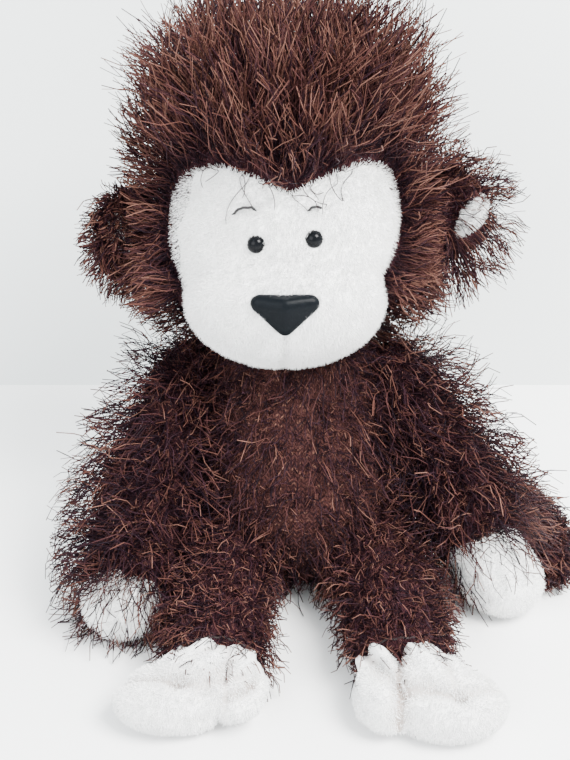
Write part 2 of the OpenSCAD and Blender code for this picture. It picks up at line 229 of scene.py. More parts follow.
def set_coordinates(mesh, points):
    mesh.vertices.foreach_set("co", points.astype(np.float32).ravel())
    mesh.update()


def keep_above(skin, height):
    """Nothing sags below this height."""
    points = coordinates(skin.data)
    points[:, 2] = np.maximum(points[:, 2], height)
    set_coordinates(skin.data, points)


def directions(mesh):
    return values_of(mesh.vertex_normals, "vector", 3, np.float32).astype(float)


def unit(v):
    return v / np.maximum(np.linalg.norm(v, axis=-1, keepdims=True), 1e-12)


def ramp(value, low, high):
    """0 at or below low, 1 at or above high."""
    return np.clip((value - low) / (high - low), 0, 1)


cloth_frames = 20


def blow_up(skin, held, pressure, slack, travel):
    """Cloth with more sheet than its form needs swells and creases. Held points stay in place."""
    start = coordinates(skin.data)
    group = skin.vertex_groups.new(name="held")
    group.add([int(i) for i in np.flatnonzero(held)], 1.0, "REPLACE")
    cloth = skin.modifiers.new("cloth", "CLOTH")
    cloth.settings.vertex_group_mass = "held"
    cloth.settings.quality = 5
    cloth.settings.mass = 0.15
    cloth.settings.use_pressure = True
    cloth.settings.uniform_pressure_force = pressure
    cloth.settings.shrink_min = -slack
    cloth.settings.tension_stiffness = 8
    cloth.settings.compression_stiffness = 8
    cloth.settings.bending_stiffness = 0.05
    cloth.settings.effector_weights.gravity = 0
    cloth.collision_settings.use_collision = False
    for number in range(1, cloth_frames + 1):
        bpy.context.scene.frame_set(number)
    bake_modifiers(skin)
    bpy.context.scene.frame_set(1)
    skin.vertex_groups.clear()
    moved = coordinates(skin.data) - start
    far = np.linalg.norm(moved, axis=1, keepdims=True)
    moved *= np.minimum(1, travel / np.maximum(far, 1e-9))
    set_coordinates(skin.data, start + moved)
    refine(skin)


def lay_weave(mesh, origin, axis, girth):
    """Each face corner gets its place in the knit: how far round the axis, and how far along it."""
    axis = unit(np.array(axis, float))
    aside = unit(np.cross(axis, (0.3, 1, 0.2)))
    across = np.cross(axis, aside)
    points = coordinates(mesh) - np.array(origin)
    along = points @ axis
    turn = np.arctan2(points @ across, points @ aside)
    corner = values_of(mesh.loops, "vertex_index")
    first = corner[values_of(mesh.polygons, "loop_start")]
    lead = np.repeat(turn[first], values_of(mesh.polygons, "loop_total"))
    own = turn[corner]
    own = own + 2 * math.pi * np.round((lead - own) / (2 * math.pi))
    weave = np.stack([own * girth, along[corner], np.zeros(len(corner))], -1)
    layer = mesh.attributes.new("weave", "FLOAT_VECTOR", "CORNER")
    layer.data.foreach_set("vector", weave.astype(np.float32).ravel())


def calc(tree, operation, *values):
    """One Math node, with numbers or sockets for its inputs."""
    return node(tree, "Math", dict(enumerate(values)), operation=operation).outputs[0]


def noise(tree, scale, detail=2.0, **more):
    """Noise fixed to the piece."""
    place = node(tree, "TexCoord").outputs["Object"]
    return node(tree, "TexNoise", {"Vector": place, "Scale": scale, "Detail": detail, **more}).outputs["Fac"]


def between(tree, value, low, high):
    """0 at or below low, 1 at or above high."""
    return node(tree, "MapRange", {"Value": value, "From Min": low, "From Max": high}).outputs[0]


def blended(tree, share, a, b):
    """A colour from a to b. Each is a colour or a socket."""
    a, b = (c if isinstance(c, bpy.types.NodeSocket) else (*c, 1) for c in (a, b))
    return node(tree, "Mix", {"Factor": share, "A": a, "B": b}, data_type="RGBA").outputs["Result"]


def relief(tree, shader, height, distance, **more):
    bump = node(tree, "Bump", {"Height": height, "Distance": distance, **more})
    tree.links.new(bump.outputs[0], shader.inputs["Normal"])


stitch_wide, stitch_tall, yarn_wander = 0.0021, 0.0017, 0.0012


def stockinette():
    """Columns of V stitches with uneven yarn. Gives the yarn's height, a slow shade and bright flecks."""
    tree = bpy.data.node_groups.new("stockinette", "ShaderNodeTree")
    for name in ("Height", "Shade", "Fleck"):
        tree.interface.new_socket(name, in_out="OUTPUT", socket_type="NodeSocketFloat")
    weave = node(tree, "Attribute", attribute_name="weave").outputs["Vector"]
    wander = node(tree, "TexNoise", {"Vector": weave, "Scale": 420, "Detail": 3}).outputs["Color"]
    shift = node(tree, "VectorMath", {0: wander, 1: (yarn_wander, yarn_wander, 0), 2: weave},
                 operation="MULTIPLY_ADD")
    across, along = node(tree, "SeparateXYZ", {0: shift.outputs[0]}).outputs[:2]
    column = calc(tree, "FRACT", calc(tree, "DIVIDE", across, stitch_wide))
    edge = calc(tree, "ABSOLUTE", calc(tree, "SUBTRACT", calc(tree, "MULTIPLY", column, 2), 1))
    row = calc(tree, "DIVIDE", along, stitch_tall)
    slant = calc(tree, "FRACT", calc(tree, "ADD", row, calc(tree, "MULTIPLY", edge, 0.75)))
    loop = calc(tree, "SINE", calc(tree, "MULTIPLY", slant, math.pi))
    leg = calc(tree, "SINE", calc(tree, "MULTIPLY", edge, math.pi))
    yarn = calc(tree, "MULTIPLY", loop, calc(tree, "ADD", calc(tree, "MULTIPLY", leg, 0.7), 0.3))
    fuzz = calc(tree, "MULTIPLY", noise(tree, 2600, 2), 0.8)
    fleck = between(tree, noise(tree, 640, 2), 0.58, 0.72)
    out = tree.nodes.new("NodeGroupOutput").inputs
    tree.links.new(calc(tree, "ADD", yarn, fuzz), out["Height"])
    tree.links.new(noise(tree, 110, 4, Roughness=0.65), out["Shade"])
    tree.links.new(calc(tree, "MULTIPLY", fleck, yarn), out["Fleck"])
    return tree


stitches = stockinette()


def knit_material(name, dark, warm, pale):
    """Brown knit: dark between the stitches, warmer on the yarn, with a few pale flecks."""
    material, tree, shader = new_finish(name, {"Roughness": 0.9, "Specular IOR Level": 0.05})
    pattern = node(tree, "Group", node_tree=stitches).outputs
    total = calc(tree, "MULTIPLY_ADD", pattern["Shade"], 2.6, pattern["Height"])
    tone = blended(tree, between(tree, total, 1.3, 2.7), dark, warm)
    tree.links.new(blended(tree, pattern["Fleck"], tone, pale), shader.inputs["Base Color"])
    relief(tree, shader, pattern["Height"], 0.0007, Strength=0.8)
    return material


knit = knit_material("knit_brown", (0.0065, 0.0026, 0.005), (0.031, 0.0108, 0.0125), (0.12, 0.057, 0.048))
knit_front = knit_material("knit_chest", (0.0065, 0.0026, 0.0045), (0.044, 0.017, 0.0145), (0.14, 0.07, 0.05))


def belongs(piece, body):
    """The piece moves with its body."""
    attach(piece, body)
    return piece


def fit(piece, body, material, stands):
    """The piece gets its cloth and its body, in place of the plain forms that it stands for."""
    piece.data.materials.append(material)
    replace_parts(belongs(piece, body), *stands)


torso = closed_skin("torso_fabric", [[belly, chest]], 0.004, 3)
points = coordinates(torso.data)
blow_up(torso, points[:, 2] < 0.004, pressure=3, slack=0.04, travel=0.0025)
keep_above(torso, 0.0004)
lay_weave(torso.data, (0, 0, 0), (0, 0.18, 1), 0.034)
fit(torso, "torso", knit_front, ["torso_skin", "torso_stuffing", "seat_pellets"])

# ---- eyelash yarn on the torso ----
# The knit's yarn carries loose ends all along it. Each end is a thin tapered tube that stands off the
# cloth, wavers and droops, and ends in a slightly thicker tip. Lengths differ, and neighbours cling.
strand_tones = {
    "yarn_shadow": (0.0068, 0.0029, 0.0056),
    "yarn_dark": (0.0185, 0.0070, 0.0104),
    "yarn_brown": (0.042, 0.0155, 0.0148),
    "yarn_red": (0.073, 0.0295, 0.0225),
    "yarn_pale": (0.118, 0.056, 0.042),
}
strand_materials = []
for name, tone in strand_tones.items():
    looks = {"Base Color": (*tone, 1), "Roughness": 0.55, "Specular IOR Level": 0.07}
    strand_materials.append(new_finish(name, looks)[0])

room = 0.03 * np.array(cad_high - cad_low) + 0.0085
room_low, room_high = np.array(cad_low) - room, np.array(cad_high) + room


def triangles(mesh):
    """The three vertices of each triangle."""
    mesh.calc_loop_triangles()
    return values_of(mesh.loop_triangles, "vertices", 3)


def scatter(mesh, count, rng):
    """Points spread evenly over a mesh, with the surface's direction at each."""
    corners = triangles(mesh)
    place, facing = coordinates(mesh), directions(mesh)
    a, b, c = (place[corners[:, k]] for k in range(3))
    area = np.linalg.norm(np.cross(b - a, c - a), axis=1)
    chosen = rng.choice(len(area), count, p=area / area.sum())
    u, v = rng.random((2, count, 1))
    over = (u + v) > 1
    u, v = np.where(over, 1 - u, u), np.where(over, 1 - v, v)
    roots = a[chosen] + u * (b - a)[chosen] + v * (c - a)[chosen]
    n = [facing[corners[chosen, k]] for k in range(3)]
    return roots, unit(n[0] * (1 - u - v) + n[1] * u + n[2] * v)


def waver(roots, heading, length, curl, droop, steps, rng):
    """Centre lines of fibres that leave along heading, swing from side to side and fall."""
    s = np.linspace(0, 1, steps)[None, :, None]
    length = length[:, None, None]
    aside = unit(np.cross(heading, rng.normal(size=heading.shape)))[:, None, :]
    across = np.cross(heading[:, None, :], aside)
    turns = rng.uniform(0.35, 0.95, (len(roots), 2, 1, 1))
    start = rng.uniform(0, 2 * math.pi, (len(roots), 2, 1, 1))
    sway = [np.sin(2 * math.pi * turns[:, k] * s + start[:, k]) - np.sin(start[:, k]) for k in range(2)]
    line = roots[:, None, :] + heading[:, None, :] * length * s
    line = line + curl * length * s * (aside * sway[0] + across * sway[1])
    line = line + np.array([0, 0, -1.0]) * droop * length * s ** 2
    return line


def cling(lines, group, strength, rng):
    """Strands lean towards one of their neighbours, most at their tips, so that they hang in locks."""
    guides = rng.choice(len(lines), max(1, len(lines) // group), replace=False)
    near = KDTree(len(guides))
    for i, g in enumerate(guides):
        near.insert(lines[g, 0], i)
    near.balance()
    lead = guides[[near.find(p)[1] for p in lines[:, 0]]]
    s = np.linspace(0, 1, lines.shape[1])[None, :, None]
    pull = strength * rng.uniform(0.3, 1, (len(lines), 1, 1)) * np.minimum(1, 1.35 * s) ** 1.2
    return lines + (lines[lead] - lines) * pull


def tubes(name, lines, thickness, taper, tones, materials, sides=3):
    """One mesh of thin tubes along lines. tones gives each tube's material for each of its lengths."""
    count, steps, _ = lines.shape
    forward = unit(np.gradient(lines, axis=1))
    aside = unit(np.cross(forward, (0.31, 0.52, 0.79)))
    across = np.cross(forward, aside)
    turn = np.arange(sides) * 2 * math.pi / sides
    width = thickness[:, None, None, None] * np.array(taper)[None, :, None, None] / 2
    ring = aside[:, :, None, :] * np.cos(turn)[:, None] + across[:, :, None, :] * np.sin(turn)[:, None]
    corners = (lines[:, :, None, :] + width * ring).reshape(-1, 3)
    first = np.arange(count)[:, None, None] * steps * sides
    row = np.arange(steps - 1)[None, :, None] * sides
    k = np.arange(sides)[None, None, :]
    low = first + row + k
    low_next = first + row + (k + 1) % sides
    quads = np.stack([low, low_next, low_next + sides, low + sides], -1).reshape(-1, 4)
    mesh = bpy.data.meshes.new(name)
    mesh.vertices.add(len(corners))
    mesh.vertices.foreach_set("co", corners.astype(np.float32).ravel())
    mesh.loops.add(quads.size)
    mesh.loops.foreach_set("vertex_index", quads.astype(np.int32).ravel())
    mesh.polygons.add(len(quads))
    mesh.polygons.foreach_set("loop_start", np.arange(len(quads), dtype=np.int32) * 4)
    mesh.polygons.foreach_set("material_index", np.repeat(tones.reshape(-1), sides).astype(np.int32))
    for material in materials:
        mesh.materials.append(material)
    mesh.update(calc_edges=True)
    mesh.shade_smooth()
    return new_object(name, mesh)


def in_pieces(name, body, share, lines, thickness, taper, tones, materials):
    """Fibres as numbered pieces of at most share fibres each."""
    pieces = []
    for part, begin in enumerate(range(0, len(lines), share)):
        some = slice(begin, begin + share)
        piece = tubes(f"{name}_{part + 1}", lines[some], thickness[some], taper, tones[some], materials)
        pieces.append(belongs(piece, body))
    return pieces


def toss(heading, amount, rng):
    return unit(heading + rng.normal(size=heading.shape) * amount)


most_faces = 190000


def grow(name, body, mesh, seed, count, longest, lift, flow, keep, curl, droop=0.25, group=6, hold=0.5,
         thick=0.00032, mix=(0.22, 0.36, 0.27, 0.1, 0.05), spread=0.35, steps=6):
    """Eyelash ends on one skin, riding on its body, as pieces of a few thousand strands."""
    rng = np.random.default_rng(seed)
    roots, facing = scatter(mesh, count, rng)
    kept = keep(roots, facing, rng)
    roots, facing = roots[kept], facing[kept]
    pull = flow(roots, facing) * np.ones_like(roots)
    flat = pull - facing * np.sum(pull * facing, axis=1, keepdims=True)
    rise = lift * rng.uniform(0.5, 1.3, (len(roots), 1))
    heading = toss(unit(facing * rise + flat * (1 - lift)), spread, rng)
    sunk = np.sum(heading * facing, axis=1, keepdims=True)
    heading = unit(heading + facing * np.maximum(0, 0.12 - sunk))
    full = longest(roots) if callable(longest) else longest
    length = full * (0.45 + 0.55 * rng.beta(2.2, 1.8, len(roots)))
    lines = waver(roots - facing * 0.0008, heading, length, curl, droop, steps, rng)
    lines = cling(lines, group, hold, rng)
    lines = np.clip(lines, room_low, room_high)
    lines[:, :, 2] = np.maximum(lines[:, :, 2], 0.0005 + 0.0006 * rng.random((len(lines), 1)))
    thickness = thick * rng.uniform(0.75, 1.3, len(lines))
    tone = rng.choice(5, len(lines), p=np.array(mix) / sum(mix))
    shades = np.repeat(tone[:, None], steps - 1, axis=1)
    # Painted shade and highlight: the first two lengths of each strand take darker tones for the shade near
    # the cloth, and half the tips take a lighter one for the light at the tips.
    shades[:, 0] = np.maximum(shades[:, 0] - 2, 0)
    shades[:, 1] = np.maximum(shades[:, 1] - 1, 0)
    shades[:, -1] = np.minimum(shades[:, -1] + (rng.random(len(lines)) < 0.5), 4)
    taper = np.interp(np.linspace(0, 1, steps), (0, 0.4, 0.75, 0.9, 1), (0.9, 0.8, 0.9, 1.5, 0.9))
    share = most_faces // (6 * (steps - 1))
    return in_pieces(name, body, share, lines, thickness, taper, shades, strand_materials)


def away(points, a, b, radius):
    """True for points outside a round bar from a to b, in metres."""
    a, b = np.array(a), np.array(b)
    t = np.clip((points - a) @ (b - a) / ((b - a) @ (b - a)), 0, 1)[:, None]
    return np.linalg.norm(points - a - t * (b - a), axis=1) > radius


shoulder_left, shoulder_right = mm(34, 10, 68), mm(-40, 10, 68)
wrist_left, wrist_right = mm(59.9, -25.9, 27.9), mm(-54.4, -31.9, 27.9)
head_centre = mm(-6, 15, 124)


def open_torso(points, facing, rng):
    """Where the torso shows: not under it, under the head, or behind a shoulder."""
    seen = (points[:, 2] > 0.003) & (np.linalg.norm(points - head_centre, axis=1) > 0.040)
    for shoulder, wrist in ((shoulder_left, wrist_left), (shoulder_right, wrist_right)):
        seen &= away(points, shoulder, wrist, 0.0125)
    return seen


def sideways(points):
    """A push away from the middle, to the left or the right."""
    return np.sign(points[:, :1]) * (0.35, 0, 0)


def down_and_out(points, facing):
    """The ends fall, and lean away from the middle."""
    return sideways(points) + (0, -0.1, -0.75)


def thin_in_front(points, facing, rng):
    """The ends are thinned out over the belly, so the knit shows there."""
    middle = np.exp(-((points[:, 0] + 0.001) / 0.02) ** 2) * np.clip(-facing[:, 1] * 1.4, 0, 1)
    return open_torso(points, facing, rng) & (rng.random(len(points)) > 0.45 * middle)


grow("torso_yarn", "torso", torso.data, 11, 4600, 0.0175, 0.42, down_and_out, thin_in_front, curl=0.24,
     mix=(0.3, 0.38, 0.22, 0.07, 0.03))


def short_ends(name, body, mesh, seed, count, flow, keep):
    """A dense coat of short curled ends that hides most of the knit."""
    return grow(name, body, mesh, seed, count, 0.0058, 0.16, flow, keep, curl=0.6, droop=0.05, spread=0.9,
                thick=0.00034, mix=(0.27, 0.35, 0.26, 0.08, 0.04), steps=4)


short_ends("torso_nap", "torso", torso.data, 12, 21000, down_and_out, thin_in_front)

# ---- seams on the torso and the panel it sits on ----
# The bag is closed by hand up the back with slanting stitches of dark thread, and the neck is sewn round.
# A round panel of the same knit closes the bottom, with a rolled edge.
thread_brown_tone, thread_white_tone = (0.014, 0.0055, 0.0055), (0.82, 0.82, 0.8)


def spun(name, colour, coarse, roughness=0.7):
    """Sewing thread: a twisted yarn with its own fine slant ridges and uneven dye."""
    material, tree, shader = new_finish(name, {"Roughness": roughness})
    place = node(tree, "TexCoord").outputs["Object"]
    ply = node(tree, "TexWave", {"Vector": place, "Scale": coarse, "Distortion": 2.5},
               bands_direction="DIAGONAL").outputs["Fac"]
    dull, bright = [0.6 * c for c in colour], [min(1, 1.25 * c) for c in colour]
    tree.links.new(blended(tree, ply, dull, bright), shader.inputs["Base Color"])
    relief(tree, shader, ply, 0.0002)
    return material


brown_thread = spun("thread_brown", thread_brown_tone, 900)
white_thread = spun("thread_white", thread_white_tone, 900)


def ball_tree(mesh):
    """For finding the nearest place on a mesh, or where a ray meets it."""
    return BVHTree.FromPolygons([Vector(p) for p in coordinates(mesh)], triangles(mesh).tolist())


def stitched(name, body, path, thickness, material, stands):
    """A thread along a path of points in metres, as a round cord with tapered ends."""
    path = np.array(path, float)
    taper = np.ones(len(path))
    taper[0] = taper[-1] = 0.3
    tones = np.zeros((1, len(path) - 1), int)
    piece = tubes(name, path[None], np.array([thickness]), taper, tones, [material], sides=8)
    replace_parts(belongs(piece, body), *stands)


torso_surface = ball_tree(torso.data)


def sewn_ring(surface, middle, aside, across, waver_to, waves):
    """A thread's path round a limb, wavering along it, in the plane of aside and across."""
    ring = []
    for t in np.linspace(0, 2 * math.pi, 61):
        out = aside * math.cos(t) + across * math.sin(t)
        hit = surface.ray_cast(Vector(middle + out * 0.05), Vector(-out))[0]
        ring.append(np.array(hit) + out * 0.0001 + waver_to * 0.0004 * math.sin(waves * t))
    return np.array(ring)


closing = []
for step in range(9):
    height = 0.027 + 0.0038 * step
    for corner, rise in ((-0.0022, 0), (0.0022, 0.0021)):
        hit = torso_surface.ray_cast(Vector((corner, 0.09, height + rise)), Vector((0, -1, 0)))[0]
        closing.append(np.array(hit) + (0, 0.0003, 0))
smooth_closing = [closing[0]]
for a, b in zip(closing, closing[1:]):
    smooth_closing += [a + (b - a) * 0.5 + (0, 0.0003, 0), b]
stitched("back_stitches", "torso", smooth_closing, 0.0012, brown_thread, ["back_seam"])

neck_place = mm(-6, 14, 76.6)
turns = np.linspace(0, 2 * math.pi, 73)
sewn = [neck_place + (0.016 * math.cos(t), 0.016 * math.sin(t), 0.0003 * math.sin(18 * t)) for t in turns]
stitched("neck_stitches", "torso", sewn, 0.0018, brown_thread, ["neck_seam"])


def join_rows(bm, rows, order=(0, 1, 2, 3)):
    """Faces between closed rows of corners, each row with the next. The order of corners sets the side."""
    for a, b in zip(rows, rows[1:]):
        for k in range(len(a)):
            ring = (a[k - 1], a[k], b[k], b[k - 1])
            bm.faces.new([ring[corner] for corner in order])


panel_bm = bmesh.new()
panel_turns = np.arange(48) * 2 * math.pi / 48
panel_rows = []
for radius, height in ((4, 0.3), (9, 0.1), (11.8, 0.1), (12.8, 0.6), (12.5, 1.3), (11.7, 1.6)):
    panel_rows.append([panel_bm.verts.new(mm(radius * math.cos(t), radius * math.sin(t), height))
                       for t in panel_turns])
join_rows(panel_bm, panel_rows, (1, 2, 3, 0))
panel_bm.faces.new(panel_rows[0])
panel_bm.faces.new(panel_rows[-1][::-1])
bmesh.ops.recalc_face_normals(panel_bm, faces=panel_bm.faces)
panel = from_bmesh("seat_patch", panel_bm)
lay_weave(panel.data, (0, 0, 0), (0, 1, 0), 0.006)
fit(panel, "torso", knit, ["seat_panel"])

# ---- white plush for hands, feet, face and ears ----
# Short dense pile on a knitted back. The pile is brushed, so it parts and shades in soft patches,
# and single fibres stand up from it, longest on the face.
plush, plush_tree, plush_shader = new_finish("plush_white", {
    "Roughness": 0.9, "Specular IOR Level": 0.15, "Sheen Weight": 0.25})
pile_height = calc(plush_tree, "ADD", noise(plush_tree, 900, 4, Roughness=0.7),
                   noise(plush_tree, 160, 3, Distortion=1.2))
clean_pile = blended(plush_tree, between(plush_tree, pile_height, 0.7, 1.25), (0.76, 0.755, 0.745),
                     (0.96, 0.96, 0.95))
# Painted shade: the pile is blended toward a grey-brown where the plush is folded in, for the shade that
# falls in its folds.
folded = node(plush_tree, "Attribute", attribute_name="fold_shade").outputs["Fac"]
plush_colour = blended(plush_tree, folded, clean_pile, (0.36, 0.3, 0.27))
plush_tree.links.new(plush_colour, plush_shader.inputs["Base Color"])
relief(plush_tree, plush_shader, pile_height, 0.0008, Strength=0.7)

plush_fibre = new_finish("plush_fibre", {"Base Color": (0.95, 0.95, 0.945, 1), "Roughness": 0.8,
                                         "Specular IOR Level": 0.15, "Sheen Weight": 0.2})[0]


nap_share = 32000


def paint_fold_shade(mesh, amount):
    """Painted shade: how far the pile is greyed where the plush is folded, from 0 to 1 at each vertex."""
    layer = mesh.attributes.new("fold_shade", "FLOAT", "POINT")
    layer.data.foreach_set("value", np.clip(amount, 0, 1).astype(np.float32))


def nap(name, body, mesh, seed, count, longest, brush, keep, lean=0.5):
    """White pile fibres as slim three-sided points, brushed over to one side."""
    rng = np.random.default_rng(seed)
    roots, facing = scatter(mesh, count, rng)
    kept = keep(roots, facing, rng)
    roots, facing = roots[kept], facing[kept]
    comb = np.array(brush, float) * np.ones_like(roots)
    flat = comb - facing * np.sum(comb * facing, axis=1, keepdims=True)
    heading = toss(unit(facing + flat * lean), 0.3, rng)
    length = longest * rng.uniform(0.55, 1, len(roots))
    lines = waver(roots - facing * 0.0003, heading, length, 0.0, 0.0, 2, rng)
    lines[:, :, 2] = np.maximum(lines[:, :, 2], 0.0003)
    thickness = 0.00034 * rng.uniform(0.7, 1.3, len(lines))
    white = np.zeros((len(lines), 1), int)
    in_pieces(name, body, nap_share, lines, thickness, (1, 0.12), white, [plush_fibre])


# ---- arms ----
# Each arm is a limp tube of knit filled with fibre, sewn to the shoulder and gathered into the hand.
# The hands are white plush bags of pellets that lie on the table in front of the sleeves.
hand_left, hand_right = mm(70, -39.9, 12.3), mm(-60, -48.2, 12.3)


def limb_blend(a, b, share):
    return (np.array(a) * (1 - share) + np.array(b) * share) / MM


def gather(skin, origin, axis, depth, reach, folds, seed):
    """Small pleats that run away from a seam, deepest beside it. Gives how far each point is folded in."""
    rng = np.random.default_rng(seed)
    axis = unit(np.array(axis, float))
    points, facing = coordinates(skin.data), directions(skin.data)
    offset = points - np.array(origin)
    along = offset @ axis
    aside = unit(np.cross(axis, (0.2, 0.1, 1)))
    turn = np.arctan2(offset @ np.cross(axis, aside), offset @ aside)
    fade = np.clip(1 - np.maximum(along, 0) / reach, 0, 1) ** 1.6
    wave = np.zeros(len(points))
    for _ in range(4):
        wave += rng.uniform(0.4, 1) * np.sin(turn * rng.integers(folds // 2, folds) + rng.uniform(0, 6.3)
                                             + along * rng.uniform(-250, 250))
    set_coordinates(skin.data, points + facing * (depth * fade * wave / 2.2)[:, None])
    return 0.8 * fade * np.clip(-wave / 2.2, 0, 1)


def arm(side, body, shoulder, wrist, hand, reach, palm_shift, fringe, seed):
    """One sleeve with its eyelash ends, hand, wrist seam and pile."""
    forward = unit(hand - shoulder)
    elbow = limb_blend(shoulder, hand, 0.45) + np.array((4.0 * np.sign(shoulder[0]), 0, -1.5))
    cuff = limb_blend(shoulder, hand, reach)
    sleeve = closed_skin(f"sleeve_{side}_fabric", [
        [(shoulder / MM, (12.6, 12.6, 12.8)), (elbow, (13.6, 13.6, 13.4))],
        [(elbow, (13.6, 13.6, 13.4)), (cuff, (15.2, 13.6, 13.2))]], 0.0032, 3)
    ends = coordinates(sleeve.data)
    near_root = np.linalg.norm(ends - shoulder, axis=1) < 0.012
    near_cuff = (ends - cuff * MM) @ forward > 0.009
    blow_up(sleeve, near_root | near_cuff, pressure=3, slack=0.05, travel=0.0022)
    lay_weave(sleeve.data, shoulder, forward, 0.0135)
    fit(sleeve, body, knit, [f"sleeve_{side}", f"arm_stuffing_{side}"])

    palm = hand / MM + np.array(palm_shift)
    mitten = closed_skin(f"hand_{side}_plush", [
        [(cuff, (11.5, 10.5, 10.5)), (palm, (14.2, 15.0, 11.2))]], 0.0026, 3)
    held = (coordinates(mitten.data) - wrist) @ forward < 0.008
    blow_up(mitten, held, pressure=4, slack=0.06, travel=0.0016)
    pleats = gather(mitten, cuff * MM, forward, 0.0011, 0.018, 11, seed)
    # Painted shade greys the hand's pleats.
    paint_fold_shade(mitten.data, pleats)
    keep_above(mitten, 0.0006)
    fit(mitten, body, plush, [f"hand_{side}", f"hand_pellets_{side}"])

    def bare_hand(points, facing, rng):
        return (points - cuff * MM) @ forward > 0.006

    nap(f"hand_{side}_nap", body, mitten.data, seed + 1, 15000, 0.0018, forward, bare_hand)

    aside = unit(np.cross(forward, (0, 0, 1)))
    across = np.cross(forward, aside)
    ring = sewn_ring(ball_tree(sleeve.data), cuff * MM + forward * 0.0085, aside, across, forward, 14)
    stitched(f"wrist_{side}_stitches", body, ring, 0.0011, brown_thread, [f"wrist_seam_{side}"])

    def on_sleeve(points, facing, rng):
        apart = np.linalg.norm(points - mm(-3, 6, 62), axis=1) > 0.029
        return apart & (points[:, 2] > 0.003)

    def hang(points, facing):
        outward = np.array([0.75 * np.sign(shoulder[0]), -0.1, -0.25])
        return outward + forward * 0.35

    grow(f"sleeve_{side}_yarn", body, sleeve.data, seed + 2, 2500, 0.026, 0.66, hang, on_sleeve, curl=0.24,
         droop=0.14, group=6, hold=0.62, thick=0.00034, mix=(0.26, 0.38, 0.24, 0.08, 0.04))

    def at_cuff(points, facing, rng):
        return on_sleeve(points, facing, rng) & ((points - cuff * MM) @ forward > -0.004)

    def drape(points, facing):
        return forward * 0.8 + (0, -0.1, -0.5)

    grow(f"cuff_{side}_yarn", body, sleeve.data, seed + 4, fringe, 0.021, 0.5, drape, at_cuff, curl=0.26,
         droop=0.3, group=8, hold=0.7, mix=(0.2, 0.36, 0.3, 0.1, 0.04))
    short_ends(f"sleeve_{side}_nap", body, sleeve.data, seed + 3, 9500, hang, on_sleeve)


arm("left", "arm_left", shoulder_left, wrist_left, hand_left, 0.71, (0.2, 3.0, -0.6), 900, 100)
arm("right", "arm_right", shoulder_right, wrist_right, hand_right, 0.88, (-0.6, -1.0, -0.6), 3800, 120)

# ---- legs ----
# The legs stretch forward from the seat. Each ends in a flat white plush foot whose ankle is gathered
# under a seam, with deep folds across it and toe lobes at the front that sag to the table.


def crease(skin, a, b, depth, width):
    """A fold pressed into the top of a soft piece along a line, in millimetres seen from above.
    Gives how far each point is folded in."""
    points = coordinates(skin.data)
    start, end = np.array(a) * MM, np.array(b) * MM
    t = np.clip((points[:, :2] - start) @ (end - start) / ((end - start) @ (end - start)), 0, 1)[:, None]
    off = np.linalg.norm(points[:, :2] - start - t * (end - start), axis=1) / (width * MM)
    top = np.clip((points[:, 2] - 0.004) / 0.005, 0, 1)
    points[:, 2] -= depth * MM * np.exp(-off ** 2) * top
    set_coordinates(skin.data, points)
    return np.exp(-off ** 2) * top


